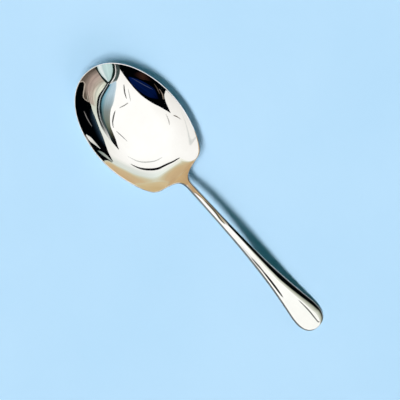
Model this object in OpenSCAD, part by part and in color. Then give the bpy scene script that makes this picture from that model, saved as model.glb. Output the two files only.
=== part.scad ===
// Serving spoon of polished stainless steel
// The spoon lies along X as it lies on a table, with the tip of the bowl towards +X.
// Its bowl and its handle are two solids that meet face to face at the neck.
// Places along the spoon are distances from the tip of the bowl.

/* [Whole spoon] */
// Length from the tip of the bowl to the end of the handle
overall_length = 228; // [210:1:250]

/* [Bowl seen from above] */
// Width of the bowl across the rim
bowl_width = 63.8; // [56:0.2:72]
// Distance from the tip to the widest place
bowl_widest_at = 49.1; // [44:0.1:56]
// Distance from the tip to the shoulders, before they are rounded
shoulder_at = 89.6; // [84:0.2:98]
// Width across the shoulders, before they are rounded
shoulder_width = 39.4; // [35:0.2:46]
// Length that the rounding takes from each side of a shoulder
shoulder_round = 4; // [1:0.1:5]
// Angle at which the sides run in towards the shoulders
shoulder_angle = 34; // [20:1:42]
// Angle at which the back edge leans away from square
back_lean = 13.5; // [5:0.5:25]
// Length of the back edge between a shoulder and the curve into the neck
back_run = 10.5; // [5:0.1:11]
// Distance from the foot of the back edge to the joint in the neck
neck_run = 8; // [6:0.1:14]
// Width of the neck at the joint
neck_width = 4.5; // [3.6:0.1:6]

/* [Bowl seen from the side] */
// Depth of the bowl at its widest place, below the rim
bowl_depth = 12.8; // [10:0.1:16]
// Distance from the tip to the deepest place
bowl_deepest_at = 46; // [42:0.5:50]
// Height that the rim gains towards the tip
tip_rise = 3.2; // [0:0.1:5]
// Thickness of the metal of the bowl
bowl_wall = 1.5; // [1.2:0.1:2]
// Depth of the flat that wear leaves under the bowl
bowl_flat = 0.3; // [0.1:0.05:0.5]

/* [Neck and handle seen from the side] */
// Height of the top of the neck at the joint
neck_height = 18; // [16.5:0.1:20]
// Angle at which the neck climbs at the joint
neck_climb = 25; // [18:1:28]
// Thickness of the neck at the joint
neck_thickness = 3.9; // [3:0.1:5]
// Height of the top of the handle at its crest
crest_height = 23.4; // [22.5:0.1:26]
// Distance from the tip to the crest
crest_at = 127; // [122:1:136]
// Angle at which the handle comes down at its end
end_slope = 7; // [4:1:10]
// Thickness of the end of the handle
end_thickness = 2.5; // [2:0.1:3.5]
// Height of the round of the handle's face over its edges
handle_crown = 0.75; // [0.4:0.05:0.9]
// Depth of the flat that wear leaves under the end of the handle
handle_flat = 0.4; // [0.3:0.05:0.6]

/* [Handle seen from above] */
// Width of the handle at its widest place
handle_width = 19; // [15:0.1:22]
// Distance from the widest place to the end
end_run = 12.4; // [9:0.1:16]
// How square the end is, from an ellipse at 2 upwards
end_squareness = 2.5; // [2:0.1:3]

/* [Smoothness] */
// Number of strips across the spoon
across_steps = 28; // [20:2:32]

/* [Hidden] */

// Numbers of stations along each stretch of the outline
front_steps = 22;
side_steps = 14;
corner_steps = 6;
flare_steps = 14;
swell_steps = 26;
end_steps = 14;
finer = 4;
quarter_turn = 90;

// Shape of the curves, as shares of the stretches that they run through
tip_fullness_share = 0.64;
front_side_share = 0.5;
side_start_share = 0.41;
side_end_share = 0.18;
swell_shares = [0.755, 0.914];
keel_shares = [0.6, 0.32];
neck_curve_share = 0.38;
crest_curve_share = 0.45;
fall_curve_share = 0.42;
end_curve_share = 0.36;

// How the bowl's sections steepen: 2 is a parabola
section_power = 2.4;
ridge_power = 3;

// Half sizes and places that several curves share
bowl_half = bowl_width / 2;
shoulder_half = shoulder_width / 2;
neck_half = neck_width / 2;
handle_half = handle_width / 2;
handle_widest_at = overall_length - end_run;

// The straight back edge, from a rounded shoulder to the curve into the neck
side_way = [cos(shoulder_angle), -sin(shoulder_angle)];
back_way = [sin(back_lean), -cos(back_lean)];
shoulder = [shoulder_at, shoulder_half];
side_end = shoulder - side_way * shoulder_round;
back_start = shoulder + back_way * shoulder_round;
back_end = back_start + back_way * back_run;
back_foot = shoulder_at + (shoulder_half - neck_half) * tan(back_lean);
joint_at = back_foot + neck_run;

// Heights that the side view is built on
floor_height = bowl_wall - bowl_flat;
neck_above_floor = neck_height - floor_height;
end_top = end_thickness - handle_flat;
neck_edge_thickness = neck_thickness - handle_crown;

// Small step along and across the spoon for slopes
probe_share = 0.005;
probe = neck_width * probe_share;

// Room round the spoon where it is cut at the table
overrun_share = 1.2;

// General curves

// A point on the Bezier curve through the given control points
function bezier(points, t) =
    len(points) == 1
        ? points[0]
        : bezier([for (i = [0:len(points) - 2]) points[i] * (1 - t) + points[i + 1] * t], t);

// Points along a Bezier curve, without its last one
function bezier_run(points, steps) = [for (i = [0:steps - 1]) bezier(points, i / steps)];

// A smooth change from 0 to 1 between two places
function ease(a, b, at) =
    let (t = min(max((at - a) / (b - a), 0), 1))
    t * t * (3 - 2 * t);

// The outline seen from above, as [distance from the tip, half width]

function bowl_outline(fine) = concat(
    bezier_run([
        [0, 0],
        [0, tip_fullness_share * bowl_half],
        [bowl_widest_at * (1 - front_side_share), bowl_half],
        [bowl_widest_at, bowl_half]
    ], front_steps * fine),
    bezier_run([
        [bowl_widest_at, bowl_half],
        [bowl_widest_at + side_start_share * (shoulder_at - bowl_widest_at), bowl_half],
        side_end - side_way * side_end_share * (shoulder_at - bowl_widest_at),
        side_end
    ], side_steps * fine),
    bezier_run([side_end, shoulder, back_start], corner_steps * fine),
    bezier_run([
        back_start,
        back_end,
        [back_foot, neck_half],
        [joint_at, neck_half]
    ], flare_steps * fine)
);

function handle_outline(fine) = concat(
    bezier_run([
        [joint_at, neck_half],
        [joint_at + swell_shares[0] * (handle_widest_at - joint_at), neck_half],
        [joint_at + swell_shares[1] * (handle_widest_at - joint_at), handle_half],
        [handle_widest_at, handle_half]
    ], swell_steps * fine),
    [for (i = [0:end_steps * fine])
        let (turn = quarter_turn * i / (end_steps * fine), power = 2 / end_squareness)
        [
            handle_widest_at + end_run * pow(max(sin(turn), 0), power),
            handle_half * pow(max(cos(turn), 0), power)
        ]
    ]
);

// Square of the half width, which stays smooth where the outline closes
width_table = [
    for (p = concat(bowl_outline(finer), handle_outline(finer)))
        [p[0], p[1] * p[1]]
];
function half_square(at) = lookup(at, width_table);
function half_width(at) = sqrt(half_square(at));

// Distance in from the outline of a point at y from the centre line
function inset(at, y) =
    let (
        square = half_square(at),
        change = (half_square(at + probe) - half_square(at - probe)) / (4 * probe)
    )
    max(square - y * y, 0) / (2 * sqrt(change * change + y * y + probe * probe));

// The side view of the bowl, as heights above the floor of its hollow

keel_curve = [
    for (i = [0:side_steps * finer])
        bezier([
            [bowl_deepest_at, 0],
            [bowl_deepest_at + keel_shares[0] * (joint_at - bowl_deepest_at), 0],
            [
                joint_at - keel_shares[1] * (joint_at - bowl_deepest_at),
                neck_above_floor - keel_shares[1] * (joint_at - bowl_deepest_at) * tan(neck_climb)
            ],
            [joint_at, neck_above_floor]
        ], i / (side_steps * finer))
];

function neckward(at) = ease(shoulder_at, joint_at, at);

function keel(at) =
    at < bowl_deepest_at
        ? (bowl_depth + tip_rise) * pow(1 - at / bowl_deepest_at, section_power)
        : lookup(at, keel_curve);

function rim(at) =
    let (front = max(1 - at / bowl_widest_at, 0))
    (bowl_depth + tip_rise * front * front) * (1 - neckward(at))
        + (keel(at) - handle_crown) * neckward(at);

// Height of the bowl's inner face, whose sections turn from hollow to crowned at the neck
function bowl_face(at, y) =
    let (
        power = 2 + (section_power - 2) * (1 - neckward(at)),
        low = pow(keel(at), 2 / power),
        high = pow(rim(at), 2 / power),
        square = max(half_square(at), y * y, probe * probe)
    )
    floor_height + pow(low + (high - low) * y * y / square, power / 2);

// Upright thickness of the metal over its true thickness, on the slopes of the bowl
function steepness(at, y) =
    let (
        inward = at < bowl_deepest_at ? probe : -probe,
        along = (bowl_face(at + inward, y) - bowl_face(at, y)) / inward,
        across = (bowl_face(at, abs(y)) - bowl_face(at, abs(y) - probe)) / probe
    )
    sqrt(1 + along * along + across * across);

// Thickness of the bowl, with the ridge under its back that grows into the neck
function bowl_thickness(at, y) =
    let (
        swell = ease(bowl_widest_at, joint_at, at),
        middle = bowl_wall + (neck_thickness - bowl_wall) * swell,
        edge = bowl_wall + (neck_edge_thickness - bowl_wall) * neckward(at),
        power = 1 + (ridge_power - 1) * (1 - neckward(at)),
        square = max(half_square(at), probe * probe)
    )
    edge + (middle - edge) * pow(max(1 - y * y / square, 0), power);

// The side view of the handle, as heights above the table

neck_reach = neck_curve_share * (crest_at - joint_at);
fall = overall_length - crest_at;
handle_curve = concat(
    bezier_run([
        [joint_at, neck_height],
        [joint_at + neck_reach, neck_height + neck_reach * tan(neck_climb)],
        [crest_at - crest_curve_share * (crest_at - joint_at), crest_height],
        [crest_at, crest_height]
    ], swell_steps * finer),
    bezier_run([
        [crest_at, crest_height],
        [crest_at + fall_curve_share * fall, crest_height],
        [
            overall_length - end_curve_share * fall,
            end_top + end_curve_share * fall * tan(end_slope)
        ],
        [overall_length, end_top]
    ], swell_steps * finer),
    [[overall_length, end_top]]
);

function handle_face(at, y) =
    let (square = max(half_square(at), probe * probe))
    lookup(at, handle_curve) - handle_crown * y * y / square;

function handle_thickness(at, y) =
    let (
        taper = ease(joint_at, overall_length, at),
        middle = neck_thickness + (end_thickness - neck_thickness) * taper,
        square = max(half_square(at), probe * probe)
    )
    middle - handle_crown * y * y / square;

// Half of the upright thickness left at a distance in from a rounded edge
function rounded(distance, thickness) =
    let (t = min(2 * distance / thickness, 1))
    thickness / 2 * sqrt(1 - (1 - t) * (1 - t));

// Rings around the metal, as points in the spoon's own frame

function place(at, y, z) = [overall_length / 2 - at, y, z];

function sweep_y(at, i) = half_width(at) * sin(quarter_turn * (2 * i / across_steps - 1));

// A ring runs over the top face to one side and back over the underside
function ring(at, top, under) = concat(
    [for (i = [0:across_steps]) place(at, sweep_y(at, i), top[i])],
    [for (i = [across_steps - 1:-1:1]) place(at, sweep_y(at, i), under[i])]
);

function bowl_ring(at) =
    let (
        levels = [
            for (i = [0:across_steps])
                let (
                    y = sweep_y(at, i),
                    true_thickness = bowl_thickness(at, y),
                    upright = 1 + (steepness(at, y) - 1) * (1 - neckward(at)),
                    middle = bowl_face(at, y) - true_thickness * upright / 2,
                    half = rounded(inset(at, y), true_thickness) * upright
                )
                [middle + half, middle - half]
        ]
    )
    ring(at, [for (l = levels) l[0]], [for (l = levels) l[1]]);

function handle_ring(at) =
    let (
        levels = [
            for (i = [0:across_steps])
                let (
                    y = sweep_y(at, i),
                    thickness = handle_thickness(at, y),
                    middle = handle_face(at, y) - thickness / 2,
                    half = rounded(inset(at, y), thickness)
                )
                [middle + half, middle - half]
        ]
    )
    ring(at, [for (l = levels) l[0]], [for (l = levels) l[1]]);

bowl_tip = place(0, 0, bowl_face(0, 0) - bowl_wall * steepness(0, 0) / 2);
handle_tip = place(overall_length, 0, end_top - (end_thickness - handle_crown) / 2);

function reversed(list) = [for (i = [len(list) - 1:-1:0]) list[i]];

// A closed skin over a row of rings, flat at the first ring and drawn to a point at the last
module skin(rings, point) {
    size = len(rings[0]);
    last = len(rings) - 1;
    points = concat([for (r = rings) each r], [point]);
    tip = len(points) - 1;
    sides = [
        for (r = [0:last - 1])
            for (i = [0:size - 1])
                let (
                    j = (i + 1) % size,
                    a = r * size + i,
                    b = r * size + j,
                    c = (r + 1) * size + j,
                    d = (r + 1) * size + i
                )
                each [[a, b, c], [a, c, d]]
    ];
    point_end = [for (i = [0:size - 1]) [last * size + i, last * size + (i + 1) % size, tip]];
    flat_end = [reversed([for (i = [0:size - 1]) i])];
    polyhedron(points = points, faces = concat(sides, point_end, flat_end), convexity = 6);
}

// What lies above the table, with the flats that wear leaves at its height
module above_table() {
    room = [overall_length, bowl_width, crest_height + bowl_depth] * overrun_share;
    intersection() {
        children();
        translate([-room[0] / 2, -room[1] / 2, 0])
            cube(room);
    }
}

// The parts

module bowl() {
    stations = concat([for (p = bowl_outline(1)) p[0]], [joint_at]);
    color("silver")
        above_table()
            skin([for (i = [len(stations) - 1:-1:1]) bowl_ring(stations[i])], bowl_tip);
}

module handle() {
    stations = [for (p = handle_outline(1)) p[0]];
    color("gainsboro")
        above_table()
            skin([for (i = [0:len(stations) - 2]) reversed(handle_ring(stations[i]))], handle_tip);
}

bowl();
handle();
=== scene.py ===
"""A serving spoon of mirror polished steel, lying on a plain pale blue surface."""

import math

import bmesh
import bpy
import numpy as np
from mathutils import Matrix, Vector

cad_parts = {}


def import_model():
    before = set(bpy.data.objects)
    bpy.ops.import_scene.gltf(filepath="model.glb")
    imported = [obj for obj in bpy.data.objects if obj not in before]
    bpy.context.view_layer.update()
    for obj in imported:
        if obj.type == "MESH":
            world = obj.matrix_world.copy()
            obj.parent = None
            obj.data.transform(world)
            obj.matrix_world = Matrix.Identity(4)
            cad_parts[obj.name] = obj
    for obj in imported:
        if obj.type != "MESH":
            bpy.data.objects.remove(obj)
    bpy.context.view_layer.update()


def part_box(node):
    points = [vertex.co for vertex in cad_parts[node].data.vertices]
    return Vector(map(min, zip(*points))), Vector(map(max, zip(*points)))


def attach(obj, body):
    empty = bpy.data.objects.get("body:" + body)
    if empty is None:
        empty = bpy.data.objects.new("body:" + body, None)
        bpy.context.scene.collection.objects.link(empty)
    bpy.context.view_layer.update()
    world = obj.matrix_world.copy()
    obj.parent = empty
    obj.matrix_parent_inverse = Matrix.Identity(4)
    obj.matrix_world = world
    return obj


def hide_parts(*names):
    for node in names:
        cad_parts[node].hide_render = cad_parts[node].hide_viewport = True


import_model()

# Sizes in millimetres. A place along the spoon is measured from the tip of the bowl.

MM = 0.001
bowl_low, bowl_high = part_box("bowl")
handle_low, handle_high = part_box("handle")

overall_length = (bowl_high.x - handle_low.x) / MM
bowl_half = bowl_high.y / MM
handle_half = handle_high.y / MM
joint_at = (bowl_high.x - bowl_low.x) / MM
neck_height = bowl_high.z / MM
crest_height = handle_high.z / MM

bowl_widest_at = 49.1
shoulder_at = 89.6
shoulder_half = 19.7
shoulder_round = 4.0
shoulder_angle = math.radians(34)
back_lean = math.radians(13.5)
back_run = 10.5
neck_half = 2.25
bowl_depth = 12.8
bowl_deepest_at = 46.0
tip_rise = 3.2
bowl_wall = 1.5
bowl_flat = 0.3
neck_climb = math.radians(25)
neck_thickness = 3.9
crest_at = 127.0
end_slope = math.radians(7)
end_thickness = 2.5
handle_crown = 0.75
handle_flat = 0.4
end_run = 12.4
end_squareness = 2.5

# Shape of the curves, as shares of the stretches that they run through

tip_fullness_share = 0.64
front_side_share = 0.5
side_start_share = 0.41
side_end_share = 0.18
swell_shares = (0.755, 0.914)
keel_shares = (0.6, 0.32)
neck_curve_share = 0.38
crest_curve_share = 0.45
fall_curve_share = 0.42
end_curve_share = 0.36
section_power = 2.4
ridge_power = 3.0

# How finely the surfaces and their curves are divided

curve_steps = 600
across_steps = 96
front_steps = 72
side_steps = 44
corner_steps = 16
flare_steps = 44
swell_steps = 110
end_steps = 44
tiny = 1e-4
slope_step = 0.01 * neck_half

handle_widest_at = overall_length - end_run
back_foot = shoulder_at + (shoulder_half - neck_half) * math.tan(back_lean)
floor_height = bowl_wall - bowl_flat
end_top = end_thickness - handle_flat
neck_edge_thickness = neck_thickness - handle_crown


# Curves

def bezier(points, steps):
    """Points along the Bezier curve through the given control points."""
    t = np.linspace(0, 1, steps + 1)[:, None]
    level = [np.array(p, float) * np.ones_like(t) for p in points]
    while len(level) > 1:
        level = [a * (1 - t) + b * t for a, b in zip(level[:-1], level[1:])]
    return level[0]


def ease(start, end, at):
    """A smooth change from 0 to 1 between two places."""
    t = np.clip((at - start) / (end - start), 0, 1)
    return t * t * (3 - 2 * t)


def joined(runs):
    """Runs of points in one list, each without the point that the next one starts with."""
    return np.vstack([run[:-1] for run in runs[:-1]] + [runs[-1]])


def bowl_outline(front, side, corner, flare):
    """Places and half widths from the tip to the joint, in the given numbers of steps."""
    side_way = np.array([math.cos(shoulder_angle), -math.sin(shoulder_angle)])
    back_way = np.array([math.sin(back_lean), -math.cos(back_lean)])
    shoulder = np.array([shoulder_at, shoulder_half])
    side_end = shoulder - side_way * shoulder_round
    back_start = shoulder + back_way * shoulder_round
    side_length = shoulder_at - bowl_widest_at
    return joined([
        bezier([
            (0, 0),
            (0, tip_fullness_share * bowl_half),
            (bowl_widest_at * (1 - front_side_share), bowl_half),
            (bowl_widest_at, bowl_half),
        ], front),
        bezier([
            (bowl_widest_at, bowl_half),
            (bowl_widest_at + side_start_share * side_length, bowl_half),
            side_end - side_way * side_end_share * side_length,
            side_end,
        ], side),
        bezier([side_end, shoulder, back_start], corner),
        bezier([
            back_start,
            back_start + back_way * back_run,
            (back_foot, neck_half),
            (joint_at, neck_half),
        ], flare),
    ])


def handle_outline(swell, end):
    """Places and half widths from the joint to the rounded end."""
    stem = handle_widest_at - joint_at
    turn = np.linspace(0, math.pi / 2, end + 1)
    power = 2 / end_squareness
    tip = np.c_[
        handle_widest_at + end_run * np.sin(turn) ** power,
        handle_half * np.cos(turn).clip(0) ** power,
    ]
    return joined([
        bezier([
            (joint_at, neck_half),
            (joint_at + swell_shares[0] * stem, neck_half),
            (joint_at + swell_shares[1] * stem, handle_half),
            (handle_widest_at, handle_half),
        ], swell),
        tip,
    ])


def keel_points():
    """Middle line of the hollow, from its deepest place up to the joint."""
    run = joint_at - bowl_deepest_at
    top = neck_height - floor_height
    return bezier([
        (bowl_deepest_at, 0),
        (bowl_deepest_at + keel_shares[0] * run, 0),
        (joint_at - keel_shares[1] * run, top - keel_shares[1] * run * math.tan(neck_climb)),
        (joint_at, top),
    ], curve_steps)


def handle_points():
    """Middle line of the handle's upper face, over the crest and down to the end."""
    reach = neck_curve_share * (crest_at - joint_at)
    fall = overall_length - crest_at
    return joined([
        bezier([
            (joint_at, neck_height),
            (joint_at + reach, neck_height + reach * math.tan(neck_climb)),
            (crest_at - crest_curve_share * (crest_at - joint_at), crest_height),
            (crest_at, crest_height),
        ], curve_steps),
        bezier([
            (crest_at, crest_height),
            (crest_at + fall_curve_share * fall, crest_height),
            (
                overall_length - end_curve_share * fall,
                end_top + end_curve_share * fall * math.tan(end_slope),
            ),
            (overall_length, end_top),
        ], curve_steps),
    ])


outline = np.vstack([
    bowl_outline(curve_steps, curve_steps, curve_steps, curve_steps),
    handle_outline(curve_steps, curve_steps)[1:],
])
keel_curve = keel_points()
handle_curve = handle_points()


def half_square(at):
    """Square of the half width, which stays smooth where the outline closes."""
    return np.interp(at, outline[:, 0], outline[:, 1] ** 2)


def inset(at, y):
    """Distance in from the outline, by how the square of the half width changes."""
    square = half_square(at)
    change = (half_square(at + slope_step) - half_square(at - slope_step)) / (4 * slope_step)
    return np.maximum(square - y * y, 0) / (2 * np.sqrt(change ** 2 + y * y + tiny ** 2))


def neckward(at):
    """From 0 in the bowl to 1 at the joint in the neck."""
    return ease(shoulder_at, joint_at, at)


def keel(at):
    """Height of the bowl's middle line above the floor of its hollow."""
    ahead = np.clip(1 - at / bowl_deepest_at, 0, None)
    front = (bowl_depth + tip_rise) * ahead ** section_power
    back = np.interp(at, keel_curve[:, 0], keel_curve[:, 1])
    return np.where(at < bowl_deepest_at, front, back)


def rim(at):
    """Height of the bowl's rim above the floor of its hollow."""
    front = np.clip(1 - at / bowl_widest_at, 0, None)
    open_rim = bowl_depth + tip_rise * front ** 2
    return open_rim * (1 - neckward(at)) + (keel(at) - handle_crown) * neckward(at)


def bowl_face(at, y):
    """Height of the inner face, whose sections turn from hollow to crowned at the neck."""
    power = 2 + (section_power - 2) * (1 - neckward(at))
    low = keel(at) ** (2 / power)
    high = rim(at) ** (2 / power)
    square = np.maximum(np.maximum(half_square(at), y * y), tiny)
    return floor_height + (low + (high - low) * y * y / square) ** (power / 2)


def steepness(at, y):
    """Upright thickness of the metal over its true thickness."""
    inward = np.where(at < bowl_deepest_at, slope_step, -slope_step)
    along = (bowl_face(at + inward, y) - bowl_face(at, y)) / inward
    across = (bowl_face(at, np.abs(y)) - bowl_face(at, np.abs(y) - slope_step)) / slope_step
    return np.sqrt(1 + along ** 2 + across ** 2)


def bowl_thickness(at, y):
    """Thickness of the bowl, with the ridge under its back that grows into the neck."""
    swell = ease(bowl_widest_at, joint_at, at)
    middle = bowl_wall + (neck_thickness - bowl_wall) * swell
    edge = bowl_wall + (neck_edge_thickness - bowl_wall) * neckward(at)
    power = 1 + (ridge_power - 1) * (1 - neckward(at))
    square = np.maximum(half_square(at), tiny)
    return edge + (middle - edge) * np.clip(1 - y * y / square, 0, 1) ** power


def handle_face(at, y):
    """Height of the handle's crowned upper face."""
    square = np.maximum(half_square(at), tiny)
    return np.interp(at, handle_curve[:, 0], handle_curve[:, 1]) - handle_crown * y * y / square


def handle_thickness(at, y):
    """Thickness of the handle, whose underside is flat across."""
    taper = ease(joint_at, overall_length, at)
    middle = neck_thickness + (end_thickness - neck_thickness) * taper
    square = np.maximum(half_square(at), tiny)
    return middle - handle_crown * y * y / square


def rounded(distance, thickness):
    """Half of the thickness that is left at a distance in from a rounded edge."""
    t = np.minimum(2 * distance / thickness, 1)
    return thickness / 2 * np.sqrt(1 - (1 - t) ** 2)


# Meshes and objects

def station_grid(stations):
    """Places and distances from the centre line of a grid over the outline."""
    turn = np.linspace(-math.pi / 2, math.pi / 2, across_steps + 1)
    at = np.repeat(np.asarray(stations)[:, None], across_steps + 1, 1)
    return at, np.sqrt(half_square(at)) * np.sin(turn)


def bowl_levels(stations):
    """Grid of the bowl with the heights of its upper and under sides."""
    at, y = station_grid(stations)
    thickness = bowl_thickness(at, y)
    upright = 1 + (steepness(at, y) - 1) * (1 - neckward(at))
    middle = bowl_face(at, y) - thickness * upright / 2
    half = rounded(inset(at, y), thickness) * upright
    return at, y, middle + half, middle - half


def handle_levels(stations):
    """Grid of the handle with the heights of its upper and under sides."""
    at, y = station_grid(stations)
    thickness = handle_thickness(at, y)
    middle = handle_face(at, y) - thickness / 2
    half = rounded(inset(at, y), thickness)
    return at, y, middle + half, middle - half


def skin_mesh(name, levels, point):
    """A closed skin over rings round the metal, flat at the first ring and drawn to a point."""
    at, y, top, under = levels
    rings = np.concatenate([
        np.stack([at, y, top], 2),
        np.stack([at, y, under], 2)[:, -2:0:-1],
    ], 1)
    rings[..., 0] = overall_length / 2 - rings[..., 0]
    rings[..., 2] = np.maximum(rings[..., 2], 0)
    count, size = rings.shape[:2]
    points = np.vstack([rings.reshape(-1, 3), [point]]) * MM
    i = np.arange(size)
    j = (i + 1) % size
    faces = []
    for r in range(count - 1):
        a = r * size
        b = a + size
        faces += np.stack([a + i, a + j, b + j, b + i], 1).tolist()
    last = (count - 1) * size
    tip = count * size
    faces += [[last + int(a), last + int(b), tip] for a, b in zip(i, j)]
    faces.append(list(range(size - 1, -1, -1)))
    mesh = bpy.data.meshes.new(name)
    mesh.from_pydata(points.tolist(), [], faces)
    work = bmesh.new()
    work.from_mesh(mesh)
    bmesh.ops.recalc_face_normals(work, faces=work.faces)
    for face in work.faces:
        face.smooth = len(face.verts) <= 4
        if not face.smooth:
            for edge in face.edges:
                edge.smooth = False
    work.to_mesh(mesh)
    work.free()
    return mesh


def placed(name, data):
    """A new object in the scene, of the given mesh, light or camera."""
    made = bpy.data.objects.new(name, data)
    bpy.context.scene.collection.objects.link(made)
    return made


def piece(name, mesh, node, material):
    """An object that stands for a CAD node and rides on the spoon's one body."""
    made = placed(name, mesh)
    mesh.materials.append(material)
    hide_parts(node)
    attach(made, "root")


def bowl_mesh():
    """Skin of the bowl, from the joint to the tip."""
    stations = bowl_outline(front_steps, side_steps, corner_steps, flare_steps)[:0:-1, 0]
    tip = np.array(0.0)
    point = (
        overall_length / 2,
        0,
        float(bowl_face(tip, tip) - bowl_wall * steepness(tip, tip) / 2),
    )
    return skin_mesh("bowl_skin", bowl_levels(stations), point)


def handle_mesh():
    """Skin of the handle, from the joint to the end."""
    stations = handle_outline(swell_steps, end_steps)[:-1, 0]
    point = (-overall_length / 2, 0, end_top - (end_thickness - handle_crown) / 2)
    return skin_mesh("handle_skin", handle_levels(stations), point)


# Materials

class Nodes:
    """A short way to write a node tree."""

    def __init__(self, tree):
        self.tree = tree
        self.tree.nodes.clear()

    def add(self, kind, inputs=None, **settings):
        node = self.tree.nodes.new(kind)
        for name, value in settings.items():
            setattr(node, name, value)
        for name, value in (inputs or {}).items():
            socket = node.inputs[name]
            if isinstance(value, bpy.types.NodeSocket):
                self.tree.links.new(value, socket)
            else:
                socket.default_value = value
        return node

    def math(self, operation, a, b=0.0):
        return self.add("ShaderNodeMath", {0: a, 1: b}, operation=operation).outputs[0]

    def remap(self, value, low, high, to_low, to_high):
        node = self.add(
            "ShaderNodeMapRange",
            {"Value": value, 1: low, 2: high, 3: to_low, 4: to_high},
        )
        return node.outputs[0]

    def mix(self, share, first, second, **settings):
        inputs = {0: share, 6: first, 7: second}
        return self.add("ShaderNodeMix", inputs, data_type="RGBA", **settings).outputs[2]

    def noise(self, place, inputs, **settings):
        return self.add("ShaderNodeTexNoise", {"Vector": place, **inputs}, **settings).outputs["Fac"]

    def stretch(self, place, scale, turn=0.0):
        inputs = {"Vector": place, "Scale": scale, "Rotation": (0, 0, turn)}
        return self.add("ShaderNodeMapping", inputs).outputs[0]


def new_material(name):
    """A material and its empty node tree."""
    material = bpy.data.materials.new(name)
    material.use_nodes = True
    return material, Nodes(material.node_tree)


STEEL_DULL = (0.80, 0.79, 0.77, 1)
STEEL_BRIGHT = (0.86, 0.855, 0.84, 1)
HAZE = {"Scale": 55.0, "Detail": 5.0, "Roughness": 0.6}
HAZE_ROUGHNESS = (0.02, 0.045)
POLISH_LINES = {"Scale": 1.0, "Detail": 3.0, "Roughness": 0.55}
POLISH_STRETCH = (60.0, 2600.0, 1200.0)
POLISH_TURN = 0.5
POLISH_ROUGHNESS = (0.0, 0.02)
POLISH_DEPTH = 0.02 * MM
BOWL_SEED = 1.7
HANDLE_SEED = 4.3


def polished_steel(name, seed):
    """Mirror polished steel with faint polishing lines, hazy patches and a warm tone."""
    material, n = new_material(name)
    place = n.add("ShaderNodeTexCoord").outputs["Object"]
    haze = n.noise(place, {**HAZE, "W": seed}, noise_dimensions="4D")
    lines = n.noise(n.stretch(place, POLISH_STRETCH, POLISH_TURN), POLISH_LINES)
    rough = n.math(
        "ADD",
        n.remap(haze, 0.35, 0.75, *HAZE_ROUGHNESS),
        n.remap(lines, 0.45, 0.8, *POLISH_ROUGHNESS),
    )
    tone = n.mix(n.remap(haze, 0.3, 0.7, 0.0, 1.0), STEEL_DULL, STEEL_BRIGHT)
    relief = n.add(
        "ShaderNodeBump",
        {"Height": lines, "Strength": 0.02, "Distance": POLISH_DEPTH},
    ).outputs[0]
    shader = n.add(
        "ShaderNodeBsdfPrincipled",
        {"Base Color": tone, "Metallic": 1.0, "Roughness": rough, "Normal": relief},
    )
    n.add("ShaderNodeOutputMaterial", {"Surface": shader.outputs[0]})
    return material


# Surroundings

PALE_BLUE = (0.497, 0.745, 0.947, 1)
FLOOR_DEEP = (0.485, 0.735, 0.94, 1)
FLOOR_PALE = (0.51, 0.755, 0.955, 1)
FLOOR_MOTTLE = {"Scale": 9.0, "Detail": 4.0}
FLOOR_REACH = 3.0
MIRRORED_LOW = (0.95, 0.93, 0.89, 1)
MIRRORED_HIGH = (1.22, 1.22, 1.2, 1)
FILL = (0.02, 0.10, 0.10, 1)


def floor_material():
    """Matt pale blue with a faint mottle."""
    material, n = new_material("pale_blue_board")
    mottle = n.noise(n.add("ShaderNodeTexCoord").outputs["Object"], FLOOR_MOTTLE)
    tone = n.mix(n.remap(mottle, 0.35, 0.65, 0.0, 1.0), FLOOR_DEEP, FLOOR_PALE)
    shader = n.add(
        "ShaderNodeBsdfPrincipled",
        {"Base Color": tone, "Roughness": 0.9, "Specular IOR Level": 0.0},
    )
    n.add("ShaderNodeOutputMaterial", {"Surface": shader.outputs[0]})
    return material


def floor():
    """The plain surface that the spoon lies on."""
    mesh = bpy.data.meshes.new("floor")
    corners = [(FLOOR_REACH * x, FLOOR_REACH * y, 0) for x, y in ((-1, -1), (1, -1), (1, 1), (-1, 1))]
    mesh.from_pydata(corners, [], [(0, 1, 2, 3)])
    mesh.materials.append(floor_material())
    made = placed("floor", mesh)


def world():
    """Pale blue behind the spoon, dim fill light, and pale surroundings for the metal to mirror."""
    made = bpy.data.worlds.new("surroundings")
    bpy.context.scene.world = made
    made.use_nodes = True
    n = Nodes(made.node_tree)
    path = n.add("ShaderNodeLightPath").outputs
    place = n.add("ShaderNodeTexCoord").outputs["Generated"]
    up = n.add("ShaderNodeSeparateXYZ", {0: place}).outputs[2]
    pale = n.mix(n.remap(up, 0.0, 0.8, 0.0, 1.0), MIRRORED_LOW, MIRRORED_HIGH)
    # What the floor gets by way of the metal is the dim fill, not the pale surroundings.
    straight = n.math("LESS_THAN", path["Diffuse Depth"], 0.5)
    mirrored = n.math("MULTIPLY", path["Is Glossy Ray"], straight)
    seen = n.mix(path["Is Camera Ray"], n.mix(mirrored, FILL, pale), PALE_BLUE)
    back = n.add("ShaderNodeBackground", {"Color": seen, "Strength": 1.0})
    n.add("ShaderNodeOutputWorld", {"Surface": back.outputs[0]})


# Cards that the metal mirrors and nothing else sees. Each lies between two edges on a dome
# round the bowl, a trough over the handle, a canopy or lower eaves over the neck, or a board
# on the floor. A higher layer lies nearer to the spoon and covers the lower ones.
# Heights and radii are in metres.
# The edges and colours of the cards are fitted to one photograph and not designed. Many of the
# places were printed by another program, which followed mirrored rays from pixels of the photograph,
# and many colours were set from its colours. They fit this camera and this shape of the spoon.

DOME_CENTRE = Vector((0.060, 0, 0.010))
DOME_RADIUS = 0.45
TROUGH_HEIGHT = 0.012
TROUGH_RADIUS = 0.038
# Lean at which the trough comes down to the floor
TROUGH_FOOT = 1.37
CANOPY_HEIGHT = 0.034
EAVES_HEIGHT = 0.017
BOARD_HEIGHT = 0.0005
LAYER_SHARE = 0.012
EDGE_STEPS = 48
CARD_STEPS = 10
SPAN_STEPS = 16
LINE_TAPER = 0.4
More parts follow.
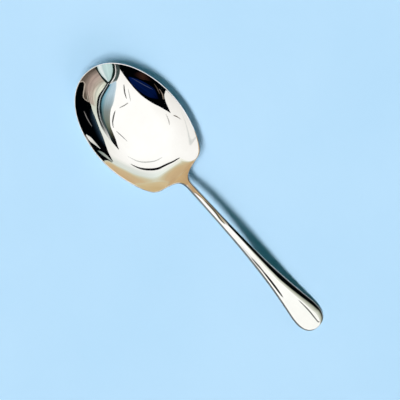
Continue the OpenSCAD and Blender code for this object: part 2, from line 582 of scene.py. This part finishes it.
# Stops of a colour that stays the same
EVEN = [(0.0, (1, 1, 1))]
STREAK_STRETCH = (1.5, 14.0, 1.0)
STREAKS = {"Scale": 1.0, "Detail": 3.0}
BLACK = (0.0, 0.0005, 0.001)


def dome(a, b, layer):
    """A place by its lean towards the tip and the spoon's left, from 0 overhead to 1 level."""
    square = a * a + b * b
    way = Vector((2 * a, 2 * b, 1 - square)) / (1 + square)
    return DOME_CENTRE + way * DOME_RADIUS * (1 - LAYER_SHARE * layer)


def trough(x, b, layer):
    """A place by its millimetres along the spoon and its lean towards the spoon's left."""
    angle = 2 * math.atan(b)
    radius = TROUGH_RADIUS * (1 - LAYER_SHARE * layer)
    return Vector((x * MM, radius * math.sin(angle), TROUGH_HEIGHT + radius * math.cos(angle)))


def plane(height):
    """A level place by its millimetres along and across the spoon."""
    def place(x, y, layer):
        return Vector((x * MM, y * MM, height * (1 - LAYER_SHARE * layer)))
    return place


def curve(points):
    """Evenly spaced places on a smooth line through the given points."""
    p = np.array(points, float)
    p = np.vstack([2 * p[0] - p[1], p, 2 * p[-1] - p[-2]])
    t = np.linspace(0, 1, SPAN_STEPS, endpoint=False)[:, None]
    runs = []
    for a, b, c, d in zip(p[:-3], p[1:-2], p[2:-1], p[3:]):
        runs.append(
            b + 0.5 * t * (c - a)
            + t ** 2 * (a - 2.5 * b + 2 * c - 0.5 * d)
            + t ** 3 * (1.5 * b - 1.5 * c + 0.5 * d - 0.5 * a)
        )
    fine = np.vstack(runs + [p[-2:-1]])
    length = np.r_[0, np.cumsum(np.linalg.norm(np.diff(fine, axis=0), axis=1))]
    share = np.linspace(0, length[-1], EDGE_STEPS + 1)
    return np.c_[np.interp(share, length, fine[:, 0]), np.interp(share, length, fine[:, 1])]


def ramp(n, share, stops):
    """A colour that changes through the given stops."""
    node = n.add("ShaderNodeValToRGB", {"Fac": share})
    band = node.color_ramp
    while len(band.elements) < len(stops):
        band.elements.new(1.0)
    while len(band.elements) > len(stops):
        band.elements.remove(band.elements[-1])
    for element, (place, colour) in zip(band.elements, stops):
        element.position = place
        element.color = colour if len(colour) == 4 else (*colour, 1)
    return node.outputs


def glow(name, along, across, grain):
    """Light whose colour changes along and across its card, with streaks where it has a grain."""
    material, n = new_material(name)
    place = n.add("ShaderNodeUVMap", uv_map="place").outputs[0]
    shares = n.add("ShaderNodeSeparateXYZ", {0: place}).outputs
    first = ramp(n, shares[0], along)
    second = ramp(n, shares[1], across)
    colour = n.mix(1.0, first[0], second[0], blend_type="MULTIPLY")
    streaks = n.noise(n.stretch(place, STREAK_STRETCH), STREAKS)
    strength = n.remap(streaks, 0.3, 0.7, 1.0 - grain, 1.0 + grain)
    light = n.add("ShaderNodeEmission", {"Color": colour, "Strength": strength})
    clear = n.add("ShaderNodeBsdfTransparent")
    cover = n.math("MULTIPLY", first[1], second[1])
    shader = n.add("ShaderNodeMixShader", {0: cover, 1: clear.outputs[0], 2: light.outputs[0]})
    n.add("ShaderNodeOutputMaterial", {"Surface": shader.outputs[0]})
    return material


def sheet(name, surface, layer, first, second, material):
    """A mesh between two edges of matching places, seen only as a reflection."""
    shares = np.linspace(0, 1, CARD_STEPS + 1)
    points = [
        surface(*(a * (1 - share) + b * share), layer)
        for a, b in zip(first, second) for share in shares
    ]
    row = CARD_STEPS + 1
    faces = [
        (r * row + c, r * row + c + 1, (r + 1) * row + c + 1, (r + 1) * row + c)
        for r in range(EDGE_STEPS) for c in range(CARD_STEPS)
    ]
    mesh = bpy.data.meshes.new(name)
    mesh.from_pydata(points, [], faces)
    places = mesh.uv_layers.new(name="place").data
    for loop in mesh.loops:
        r, c = divmod(loop.vertex_index, row)
        places[loop.index].uv = (r / EDGE_STEPS, shares[c])
    mesh.materials.append(material)
    made = placed("card_" + name, mesh)
    made.visible_camera = False
    made.visible_diffuse = False
    made.visible_shadow = False


def card(name, surface, layer, first, second, along, across=EVEN, grain=0.0):
    """A sheet between two smooth edges, with stops of its colour along and across."""
    sheet(name, surface, layer, curve(first), curve(second), glow(name, along, across, grain))


def line(name, surface, layer, path, width, colour):
    """A thin card along a path, drawn to a point at both ends."""
    middle = curve(path)
    way = np.gradient(middle, axis=0)
    side = np.c_[-way[:, 1], way[:, 0]] / np.linalg.norm(way, axis=1)[:, None]
    taper = np.sin(np.linspace(0, math.pi, EDGE_STEPS + 1)).clip(0) ** LINE_TAPER
    reach = side * (taper * width / 2)[:, None]
    material = glow(name, [(0.0, colour)], EVEN, 0.0)
    sheet(name, surface, layer, middle - reach, middle + reach, material)


canopy = plane(CANOPY_HEIGHT)
eaves = plane(EAVES_HEIGHT)
board = plane(BOARD_HEIGHT)


def front_cards():
    """Brown, pale and blue cards between thin dark lines, mirrored inside the tip of the bowl."""
    card(
        "front_brown", dome, 1,
        [(-0.80, 0.30), (-0.84, 0.02), (-0.78, -0.24), (-0.50, -0.42)],
        [(-0.38, 0.15), (-0.39, 0.01), (-0.35, -0.15), (-0.28, -0.27)],
        [(0.0, (0.8, 0.85, 0.85)), (0.3, (1, 1, 1))],
        [
            (0.30, (0.10, 0.08, 0.06)), (0.42, (0.14, 0.11, 0.09)), (0.52, (0.33, 0.26, 0.22)),
            (0.64, (0.49, 0.38, 0.33)), (0.80, (0.58, 0.50, 0.42)), (0.90, (0.78, 0.81, 0.69)),
        ],
        0.35,
    )
    card(
        "front_pale_edge", dome, 3,
        [(-0.85, 0.22), (-0.63, 0.17), (-0.52, 0.14), (-0.46, 0.13), (-0.39, 0.13)],
        [(-0.80, 0.80), (-0.58, 0.60), (-0.47, 0.46), (-0.42, 0.35), (-0.40, 0.27), (-0.38, 0.16)],
        [(0.0, (0.005, 0.015, 0.012))],
    )
    card(
        "front_pale", dome, 4,
        [(-0.85, 0.28), (-0.65, 0.22), (-0.60, 0.19), (-0.53, 0.17), (-0.47, 0.17), (-0.41, 0.17)],
        [(-0.80, 0.75), (-0.60, 0.56), (-0.49, 0.42), (-0.45, 0.33), (-0.42, 0.25), (-0.41, 0.18)],
        [(0.0, (0.80, 0.88, 0.86)), (0.4, (0.9, 0.95, 0.95)), (1.0, (0.8, 0.88, 0.88))],
        [
            (0.0, (0.55, 0.68, 0.66)), (0.10, (1.0, 1.05, 1.05)), (0.24, (1.0, 1.05, 1.05)),
            (0.36, (0.62, 0.78, 0.78)), (0.6, (0.76, 0.94, 0.93)), (1.0, (0.62, 0.80, 0.78)),
        ],
        0.08,
    )
    card(
        "front_streaks", dome, 2,
        [(-0.72, 0.80), (-0.57, 0.61), (-0.46, 0.46), (-0.41, 0.35), (-0.39, 0.27), (-0.38, 0.16)],
        [(-0.60, 0.90), (-0.46, 0.59), (-0.43, 0.52), (-0.40, 0.45), (-0.37, 0.35), (-0.35, 0.26)],
        [(0.0, (0.5, 0.5, 0.5)), (0.6, (1, 1, 1)), (0.9, (1.3, 1.4, 1.4)), (1.0, (2, 2.4, 2.6, 0))],
        [
            (0.0, (0.01, 0.02, 0.02)), (0.16, (0.05, 0.07, 0.07)), (0.30, (0.10, 0.14, 0.13)),
            (0.42, (0.01, 0.015, 0.015)), (0.58, (0.10, 0.14, 0.13)), (0.72, (0.01, 0.015, 0.015)),
            (0.86, (0.10, 0.13, 0.12)), (1.0, (0.01, 0.015, 0.015)),
        ],
        0.45,
    )
    card(
        "front_blue", dome, 2,
        [
            (-0.38, 0.16), (-0.35, 0.02), (-0.32, -0.10), (-0.28, -0.18), (-0.23, -0.25),
            (-0.17, -0.31), (-0.10, -0.35), (-0.04, -0.39), (0.02, -0.43), (0.09, -0.43),
        ],
        [
            (-0.36, 0.29), (-0.32, 0.23), (-0.26, 0.12), (-0.19, -0.01), (-0.16, -0.10), (-0.12, -0.18),
            (-0.07, -0.26), (-0.02, -0.30), (0.04, -0.35), (0.09, -0.42),
        ],
        [
            (0.0, (0.50, 0.66, 0.78)), (0.25, (0.50, 0.66, 0.76)), (0.42, (0.36, 0.47, 0.52)),
            (0.55, (0.25, 0.29, 0.28)), (0.74, (0.17, 0.19, 0.14)), (0.82, (0.06, 0.06, 0.04)),
            (0.88, (0.008, 0.008, 0.008)),
        ],
        [
            (0.0, (0.15, 0.35, 0.42)), (0.16, (0.50, 0.80, 0.88)), (0.36, (0.95, 1.0, 1.0)),
            (0.80, (1.1, 1.1, 1.1)), (1.0, (1.3, 1.2, 1.15)),
        ],
        0.15,
    )
    card(
        "front_line", dome, 4,
        [
            (-0.41, 0.13), (-0.39, 0.02), (-0.37, -0.11), (-0.34, -0.19), (-0.30, -0.26),
            (-0.25, -0.33), (-0.18, -0.39), (-0.11, -0.43), (-0.05, -0.44), (0.02, -0.45),
        ],
        [
            (-0.37, 0.16), (-0.34, 0.02), (-0.31, -0.10), (-0.27, -0.18), (-0.22, -0.24),
            (-0.16, -0.30), (-0.09, -0.33), (-0.04, -0.36), (0.02, -0.39), (0.05, -0.41),
        ],
        [(0.0, (1, 1, 1)), (0.6, (1, 1, 1)), (0.8, (1.5, 1.5, 1.4, 0.9)), (1.0, (2, 2, 2, 0))],
        [(0.0, BLACK), (0.55, (0.004, 0.01, 0.012)), (1.0, (0.02, 0.05, 0.06))],
    )
    line(
        "front_line_gleam", dome, 5,
        [
            (-0.40, 0.17), (-0.37, 0.03), (-0.34, -0.10), (-0.30, -0.19), (-0.25, -0.27),
            (-0.17, -0.35), (-0.10, -0.38), (-0.05, -0.41),
        ],
        0.010, (0.60, 0.66, 0.66),
    )


def left_cards():
    """A dark card with gleams in it, mirrored inside the left of the bowl."""
    card(
        "left_pale", dome, 1,
        [(-0.38, -0.10), (-0.33, -0.22), (-0.23, -0.34), (-0.12, -0.40), (0.0, -0.43), (0.12, -0.41)],
        [(-0.50, -0.22), (-0.42, -0.36), (-0.25, -0.44), (-0.10, -0.54), (0.02, -0.61), (0.14, -0.68)],
        [
            (0.0, (0.63, 0.635, 0.52)), (0.3, (0.74, 0.79, 0.68)), (0.6, (0.92, 0.98, 0.92)),
            (0.8, (1.0, 1.02, 0.96)), (1.0, (1.1, 1.1, 1.05, 0)),
        ],
        EVEN, 0.08,
    )
    card(
        "left_dark", dome, 2,
        [
            (-0.66, -0.30), (-0.65, -0.23), (-0.63, -0.18), (-0.60, -0.18), (-0.56, -0.24),
            (-0.48, -0.36), (-0.44, -0.37), (-0.39, -0.33), (-0.35, -0.34), (-0.30, -0.38),
            (-0.22, -0.42), (-0.14, -0.47), (-0.05, -0.53), (0.04, -0.62), (0.13, -0.70),
        ],
        [
            (-0.76, -0.30), (-0.95, -0.50), (-0.85, -0.90), (-0.40, -1.2), (0.0, -1.25), (0.10, -1.0),
            (0.13, -0.74),
        ],
        [(0.0, BLACK)],
    )
    card(
        "left_dark_sheen", dome, 3,
        [(-0.34, -0.35), (-0.25, -0.41), (-0.14, -0.48), (-0.05, -0.54), (0.02, -0.61)],
        [(-0.30, -0.50), (-0.20, -0.58), (-0.10, -0.64), (-0.04, -0.65), (0.0, -0.66)],
        [(0.0, (1, 1, 1, 0)), (0.2, (1, 1, 1, 1)), (0.8, (1, 1, 1, 1)), (1.0, (1, 1, 1, 0))],
        [(0.0, (0.06, 0.12, 0.15, 1)), (0.25, (0.015, 0.03, 0.05, 1)), (1.0, (0, 0.005, 0.01, 0))],
        0.5,
    )
    card(
        "sliver_high", dome, 3,
        [(-0.17, -0.81), (-0.12, -0.76), (-0.06, -0.75), (0.0, -0.74)],
        [(-0.17, -0.83), (-0.11, -0.84), (-0.05, -0.79), (0.0, -0.75)],
        [(0.0, (1.0, 1.0, 0.95)), (1.0, (0.7, 0.72, 0.68))], EVEN, 0.1,
    )
    card(
        "sliver_low", dome, 3,
        [(0.0, -0.82), (0.03, -0.76), (0.08, -0.72), (0.13, -0.71)],
        [(0.0, -0.83), (0.05, -0.80), (0.09, -0.76), (0.13, -0.72)],
        [(0.0, (0.20, 0.26, 0.24)), (1.0, (0.6, 0.65, 0.6))], EVEN, 0.1,
    )
    line(
        "left_dark_rim", dome, 3,
        [
            (-0.66, -0.29), (-0.64, -0.22), (-0.63, -0.17), (-0.59, -0.17), (-0.55, -0.24),
            (-0.48, -0.36), (-0.43, -0.36), (-0.39, -0.33),
        ],
        0.014, (0.60, 0.52, 0.44),
    )
    line(
        "left_dark_streak", dome, 4,
        [(-0.36, -0.53), (-0.28, -0.57), (-0.19, -0.59)],
        0.018, (0.25, 0.24, 0.23),
    )


def right_cards():
    """A dark card with blue and brown in it, mirrored inside the right of the bowl."""
    card(
        "right_dark", dome, 2,
        [
            (-0.46, 0.53), (-0.37, 0.49), (-0.28, 0.45), (-0.17, 0.41), (-0.07, 0.40), (0.03, 0.45),
            (0.14, 0.57),
        ],
        [
            (-0.46, 0.53), (-0.55, 0.75), (-0.42, 1.0), (-0.15, 1.12), (-0.01, 0.93), (0.03, 0.76),
            (0.08, 0.66), (0.14, 0.57),
        ],
        [(0.0, BLACK)],
    )
    card(
        "right_blue", dome, 3,
        [(-0.31, 0.52), (-0.25, 0.46), (-0.19, 0.44), (-0.09, 0.45), (-0.03, 0.50), (0.02, 0.60)],
        [(-0.31, 0.52), (-0.28, 0.56), (-0.20, 0.64), (-0.12, 0.69), (-0.06, 0.70), (0.02, 0.60)],
        [(0.0, (0.001, 0.010, 0.075)), (0.7, (0.001, 0.007, 0.05)), (1.0, (0, 0.001, 0.01))],
        EVEN, 0.6,
    )
    card(
        "right_brown", dome, 3,
        [(-0.30, 0.62), (-0.22, 0.66), (-0.17, 0.73), (-0.12, 0.80)],
        [(-0.30, 0.68), (-0.26, 0.77), (-0.20, 0.82), (-0.12, 0.82)],
        [(0.0, (0.02, 0.008, 0.007, 0)), (0.5, (0.04, 0.017, 0.011)), (1.0, (0.02, 0.008, 0.006, 0))],
        EVEN, 0.6,
    )
    line(
        "right_blue_line", dome, 4,
        [(-0.28, 0.55), (-0.21, 0.58), (-0.14, 0.62), (-0.07, 0.67)],
        0.012, (0.07, 0.09, 0.18),
    )
    line("thread_high", dome, 4, [(-0.04, 0.79), (0.01, 0.75), (0.05, 0.67)], 0.010, (0.45, 0.38, 0.31))
    line("thread_low", dome, 4, [(-0.10, 0.80), (-0.05, 0.76), (0.0, 0.70)], 0.008, (0.22, 0.16, 0.12))
    line(
        "crease_side", dome, 2,
        [(0.18, 0.78), (0.24, 0.68), (0.31, 0.52), (0.37, 0.38)],
        0.008, (0.80, 0.82, 0.80),
    )
    line("mark_side", dome, 2, [(0.16, 0.58), (0.18, 0.62), (0.21, 0.65)], 0.012, (0.15, 0.12, 0.1))
    line("mark_side_low", dome, 2, [(0.12, 0.48), (0.15, 0.44), (0.17, 0.39)], 0.010, (0.35, 0.34, 0.32))


def middle_cards():
    """Thin dark strokes on the white that the floor of the bowl mirrors."""
    line("stroke_high", dome, 2, [(-0.28, 0.34), (-0.21, 0.24), (-0.14, 0.17)], 0.015, (0.05, 0.05, 0.05))
    line(
        "stroke_high_faint", dome, 2,
        [(-0.22, 0.33), (-0.17, 0.27), (-0.10, 0.18)],
        0.009, (0.55, 0.56, 0.55),
    )
    line(
        "stroke_across", dome, 2,
        [(-0.11, 0.00), (-0.10, 0.07), (-0.10, 0.14)],
        0.010, (0.25, 0.25, 0.24),
    )
    line(
        "stroke_left", dome, 2,
        [(-0.12, -0.06), (-0.09, -0.15), (-0.07, -0.20), (-0.04, -0.24)],
        0.016, (0.08, 0.08, 0.08),
    )
    line("stroke_low", dome, 2, [(-0.01, -0.23), (0.04, -0.21), (0.08, -0.20)], 0.011, (0.06, 0.06, 0.06))
    line(
        "arc", dome, 3,
        [
            (0.19, -0.46), (0.25, -0.39), (0.32, -0.27), (0.38, -0.16), (0.42, -0.04), (0.45, 0.05),
            (0.46, 0.15),
        ],
        0.028, (0.002, 0.002, 0.003),
    )
    line(
        "arc_faint", dome, 3,
        [(0.14, -0.39), (0.20, -0.32), (0.25, -0.21), (0.29, -0.11), (0.31, -0.01)],
        0.013, (0.60, 0.62, 0.60),
    )


def back_cards():
    """Tan cards with a pale border, mirrored at the back of the bowl and by the neck."""
    card(
        "back_pale", dome, 1,
        [
            (0.08, -0.62), (0.15, -0.52), (0.23, -0.41), (0.33, -0.26), (0.42, -0.10), (0.46, 0.05),
            (0.45, 0.15),
        ],
        [
            (0.12, -0.82), (0.19, -0.70), (0.27, -0.57), (0.34, -0.44), (0.42, -0.29), (0.50, -0.03),
            (0.52, 0.15),
        ],
        [
            (0.0, (0.80, 0.83, 0.76)), (0.3, (0.82, 0.86, 0.80)), (0.6, (0.97, 1.02, 0.96)),
            (1.0, (1.05, 1.03, 0.9)),
        ],
        [(0.0, (1.1, 1.1, 1.1, 0)), (0.45, (1, 1.02, 1.04, 0.9)), (1.0, (0.96, 1.0, 0.98, 1))],
        0.08,
    )
    card(
        "back_tan", dome, 2,
        [
            (0.09, -1.0), (0.10, -0.79), (0.16, -0.69), (0.20, -0.62), (0.25, -0.55), (0.32, -0.42),
            (0.40, -0.28), (0.45, -0.17), (0.49, -0.03), (0.50, 0.08), (0.49, 0.14), (0.56, 0.18),
            (0.75, 0.30),
        ],
        [(0.2, -1.4), (0.7, -1.3), (1.1, -0.9), (1.3, -0.3), (1.3, 0.2), (1.2, 0.5)],
        [(0.0, (1, 1, 1)), (0.5, (0.98, 0.98, 0.98)), (1.0, (0.9, 0.84, 0.78))],
        [
            (0.0, (0.84, 0.90, 0.80, 0)), (0.008, (0.84, 0.88, 0.75, 0.8)),
            (0.022, (0.78, 0.71, 0.48, 1)), (0.045, (0.73, 0.56, 0.33, 1)),
            (0.12, (0.70, 0.50, 0.28, 1)), (0.45, (0.60, 0.40, 0.21, 1)), (0.62, (0.16, 0.17, 0.15, 1)),
            (1.0, (0.10, 0.13, 0.13, 1)),
        ],
        0.06,
    )
    card(
        "neck_tan", canopy, 0,
        [(46, -14), (36, -30), (20, -32), (4, -32)],
        [(46, 14), (36, 26), (27, 24), (22, 7), (18.5, 2.3), (9.5, -3.3), (4, -4.3)],
        [
            (0.0, (0.72, 0.52, 0.29, 0)), (0.1, (0.72, 0.51, 0.28)), (0.45, (0.60, 0.40, 0.21)),
            (1.0, (0.68, 0.52, 0.30)),
        ],
        EVEN, 0.08,
    )
    line("neck_line", canopy, 2, [(23, 8), (18.5, 2.3), (9.5, -3.3), (3, -4.4)], 3.5, (0.16, 0.11, 0.07))
    card(
        "neck_tan_low", eaves, 1,
        [(31, -8), (27, -8), (21, -7), (15.5, -5)],
        [(31, 8), (27, 8), (21, 7), (15.5, 6)],
        [(0.0, (0.68, 0.49, 0.27, 0)), (0.15, (0.68, 0.48, 0.26, 1)), (1.0, (0.6, 0.4, 0.21, 1))],
        [(0.0, (0.95, 0.9, 0.85)), (1.0, (1.05, 1.1, 1.1))],
        0.05,
    )
    card(
        "corner_tan", eaves, 0,
        [(44, 13.5), (40, 10.2), (37, 7.2), (33, 6)],
        [(42, 19), (36, 21), (30, 21), (27, 19)],
        [(0.0, (0.74, 0.62, 0.37)), (0.5, (0.76, 0.60, 0.35)), (1.0, (0.74, 0.56, 0.31))],
        [(0.0, (1.05, 1.3, 1.6, 0)), (0.12, (1, 1.05, 1.1, 1)), (0.5, (0.95, 0.93, 0.88))],
        0.05,
    )
    for side in (-1, 1):
        card(
            "neck_side" + ("_left" if side > 0 else "_right"), trough, 1,
            [(34, 0.55 * side), (20, 0.55 * side), (10, 0.55 * side)],
            [(34, 1.0 * side), (20, 1.0 * side), (10, 1.0 * side)],
            [(0.0, (0.66, 0.47, 0.26)), (0.6, (0.60, 0.42, 0.23)), (1.0, (0.62, 0.46, 0.28))],
            EVEN, 0.1,
        )


def handle_cards():
    """A bright card between dark ones, with tan and beige between, mirrored along the handle."""
    card(
        "handle_ceiling", trough, -3,
        [(10, -TROUGH_FOOT), (-60, -TROUGH_FOOT), (-210, -TROUGH_FOOT)],
        [(10, TROUGH_FOOT), (-60, TROUGH_FOOT), (-210, TROUGH_FOOT)],
        [(0.0, (1.2, 1.2, 1.18)), (0.5, (1.16, 1.18, 1.14)), (1.0, (1.2, 1.2, 1.17))],
    )
    card(
        "handle_dark_right", trough, 2,
        [
            (34, -0.82), (20, -0.82), (9, -0.85), (-1, -0.82), (-10, -0.8), (-18, -0.6), (-24, -0.42),
            (-30, -0.30), (-36, -0.25), (-46, -0.21), (-56, -0.18), (-67, -0.17), (-85, -0.16),
            (-100, -0.16), (-107, -0.18), (-115, -0.21), (-122, -0.24), (-129, -0.28), (-136, -0.31),
            (-210, -0.42),
        ],
        [(34, -TROUGH_FOOT), (-60, -TROUGH_FOOT), (-210, -TROUGH_FOOT)],
        EVEN,
        [
            (0.0, BLACK), (0.32, (0.002, 0.003, 0.003)), (0.46, (0.18, 0.20, 0.21)),
            (1.0, (0.42, 0.46, 0.48)),
        ],
    )
    card(
        "stem_dark_right", trough, 3,
        [
            (34, -0.7), (0, -0.68), (-12, -0.6), (-18, -0.46), (-24, -0.26), (-28, -0.18), (-46, -0.17),
            (-70, -0.16),
        ],
        [(34, -TROUGH_FOOT), (-30, -TROUGH_FOOT), (-70, -TROUGH_FOOT)],
        [
            (0.0, (0.002, 0.003, 0.003, 1)), (0.8, (0.002, 0.003, 0.003, 1)),
            (1.0, (0.002, 0.003, 0.003, 0)),
        ],
    )
    card(
        "handle_dark_left", trough, 2,
        [(34, 0.72), (0, 0.72), (-20, 0.66), (-40, 0.46), (-60, 0.33), (-120, 0.33), (-210, 0.36)],
        [(34, TROUGH_FOOT), (-60, TROUGH_FOOT), (-210, TROUGH_FOOT)],
        EVEN,
        [
            (0.0, (0.006, 0.008, 0.008)), (0.22, (0.01, 0.012, 0.012)), (0.38, (0.16, 0.18, 0.19)),
            (1.0, (0.36, 0.40, 0.42)),
        ],
    )
    card(
        "handle_beige", trough, 1,
        [
            (-36, -0.14), (-60, -0.08), (-100, -0.06), (-107, -0.08), (-120, -0.12), (-129, -0.16),
            (-136, -0.18), (-210, -0.2),
        ],
        [
            (-36, -0.29), (-60, -0.20), (-100, -0.18), (-107, -0.20), (-120, -0.25), (-129, -0.30),
            (-136, -0.33), (-210, -0.45),
        ],
        [
            (0.0, (1.3, 1.3, 1.3, 0.0)), (0.12, (1.3, 1.3, 1.3, 0.8)), (0.36, (1.2, 1.2, 1.2, 0.9)),
            (0.44, (1, 1, 1, 1)),
        ],
        [
            (0.0, (0.95, 0.97, 0.88, 0.0)), (0.3, (0.70, 0.73, 0.62, 1)), (0.65, (0.42, 0.45, 0.37, 1)),
            (0.9, (0.14, 0.15, 0.12, 1)),
        ],
        0.05,
    )
    card(
        "stem_tan", trough, 1,
        [(12, -0.12), (-3, -0.15), (-11, -0.12), (-18, -0.02), (-24, -0.08), (-30, -0.2)],
        [(12, -1.05), (-1, -1.0), (-10, -0.95), (-18, -0.75), (-24, -0.5), (-30, -0.34)],
        [
            (0.0, (0.62, 0.45, 0.25, 1)), (0.5, (0.56, 0.44, 0.28, 1)), (0.8, (0.60, 0.53, 0.39, 1)),
            (1.0, (0.9, 0.88, 0.8, 0)),
        ],
        EVEN, 0.1,
    )
    line(
        "stem_line", trough, 3,
        [(14, -0.11), (-3, -0.15), (-11, -0.12), (-18, 0.0), (-24, -0.01)],
        0.17, (0.02, 0.014, 0.01),
    )
    card(
        "shade_left", board, 0,
        [(23, 4), (8, 2), (-60, 2), (-90, 5), (-104, 9), (-114, 14)],
        [(23, 36), (8, 34), (-60, 30), (-90, 30), (-104, 30), (-114, 30)],
        [(0.0, (0.004, 0.006, 0.007))],
        [(0.0, (1, 1, 1)), (0.8, (1, 1, 1)), (1.0, (1, 1, 1, 0))],
    )
    card(
        "shade_right", board, 0,
        [(18, -3), (8, -2), (-60, -2), (-90, -5), (-104, -9), (-114, -14)],
        [(18, -16), (8, -22), (-60, -22), (-90, -22), (-104, -24), (-114, -26)],
        [(0.0, (0.002, 0.004, 0.005))],
        [(0.0, (1, 1, 1)), (0.6, (1, 1, 1)), (1.0, (1, 1, 1, 0))],
    )
    line(
        "handle_line_faint", trough, 3,
        [(-47, 0.18), (-56, 0.19), (-65, 0.19)],
        0.03, (0.35, 0.35, 0.34),
    )
    line(
        "handle_line_left", trough, 3,
        [(-64, 0.19), (-72, 0.19), (-78, 0.18), (-84, 0.18)],
        0.085, (0.004, 0.004, 0.004),
    )
    line(
        "handle_line_low", trough, 3,
        [(-79, 0.19), (-90, 0.19), (-102, 0.20), (-112, 0.21)],
        0.085, (0.002, 0.002, 0.002),
    )
    line(
        "handle_line_right", trough, 3,
        [(-121, -0.10), (-126, -0.10), (-131, -0.10), (-135, -0.18)],
        0.028, (0.01, 0.01, 0.01),
    )


# Lamps, by the share of light that each brings to the floor. The metal doesn't mirror them.

STRIP_LAMPS = 7
STRIP_START = (0.15, 0.34)
STRIP_END = (-0.45, 0.44)
STRIP_SHARE = 0.87
STRIP_FADE = 0.12
STRIP_SPREAD = 10
STRIP_COLOUR = (1.0, 0.96, 0.985)
LOW_LEAN = (-1.5, 0.62)
LOW_SHARE = 0.10
LOW_SPREAD = 25
LOW_COLOUR = (1.0, 0.82, 0.84)


def lamp(name, lean, share, spread, colour):
    """A distant soft lamp, by its lean to the spoon's tip and left and its spread in degrees."""
    way = Vector((lean[0], lean[1], 1))
    light = bpy.data.lights.new(name, "SUN")
    light.energy = math.pi * share * way.length
    light.angle = math.radians(spread)
    light.color = colour
    made = placed(name, light)
    made.visible_glossy = False
    made.rotation_euler = (-way).to_track_quat("-Z", "Y").to_euler()


def lamps():
    """A long soft strip over the handle's side, brightest in its middle, and a low broad glow."""
    shares = np.linspace(0, 1, STRIP_LAMPS)
    weights = np.sin(math.pi * (STRIP_FADE + (1 - 2 * STRIP_FADE) * shares))
    weights /= weights.sum()
    start = np.array(STRIP_START)
    end = np.array(STRIP_END)
    for number, (share, weight) in enumerate(zip(shares, weights), 1):
        lean = start + (end - start) * share
        brought = STRIP_SHARE * float(weight)
        lamp("strip_%d" % number, lean.tolist(), brought, STRIP_SPREAD, STRIP_COLOUR)
    lamp("low", LOW_LEAN, LOW_SHARE, LOW_SPREAD, LOW_COLOUR)


# Camera, fitted to the places of the spoon's tip and end in the photograph, in pixels

PHOTO_SIZE = 400
TIP_PIXEL = (86.4, 72.2)
END_PIXEL = (318.5, 327.2)
CAMERA_DISTANCE = 0.9
FIRST_TARGET = (0, 0, 0.008)
FIRST_SPAN = 0.26
FIT_ROUNDS = 30


def photo_camera():
    """Looks down so that the tip and the end of the spoon fall where the photograph has them."""
    lens = bpy.data.cameras.new("camera")
    lens.sensor_fit = "HORIZONTAL"
    lens.sensor_width = 36.0
    lens.clip_start = 0.01
    made = placed("camera", lens)
    bpy.context.scene.camera = made
    tip = Vector((overall_length / 2, 0, bowl_depth + tip_rise)) * MM
    end = Vector((-overall_length / 2, 0, end_top / 2)) * MM
    wanted = [np.array(TIP_PIXEL), np.array(END_PIXEL)]
    target = Vector(FIRST_TARGET)
    back = Vector((0, 0, 1))
    roll = 0.0
    span = FIRST_SPAN
    for _ in range(FIT_ROUNDS):
        right = Matrix.Rotation(roll, 3, "Z") @ Vector((-1, 0, 0))
        up = back.cross(right)
        eye = target + back * CAMERA_DISTANCE
        seen = []
        for point in (tip, end):
            offset = point - eye
            depth = -offset.dot(back)
            scale = PHOTO_SIZE * CAMERA_DISTANCE / (span * depth)
            seen.append(np.array([
                PHOTO_SIZE / 2 + offset.dot(right) * scale,
                PHOTO_SIZE / 2 - offset.dot(up) * scale,
            ]))
        gap = wanted[1] - wanted[0]
        have = seen[1] - seen[0]
        span *= np.linalg.norm(have) / np.linalg.norm(gap)
        roll += math.atan2(gap[1], gap[0]) - math.atan2(have[1], have[0])
        drift = (seen[0] + seen[1] - wanted[0] - wanted[1]) / 2 * span / PHOTO_SIZE
        target += right * float(drift[0]) - up * float(drift[1])
    lens.lens = lens.sensor_width * CAMERA_DISTANCE / span
    turn = Matrix((right, up, back)).transposed()
    made.matrix_world = Matrix.Translation(eye) @ turn.to_4x4()


photo_camera()
piece("bowl_skin", bowl_mesh(), "bowl", polished_steel("bowl_polish", BOWL_SEED))
piece("handle_skin", handle_mesh(), "handle", polished_steel("handle_polish", HANDLE_SEED))
floor()
world()
front_cards()
left_cards()
right_cards()
middle_cards()
back_cards()
handle_cards()
lamps()
bpy.context.scene.view_settings.view_transform = "Standard"
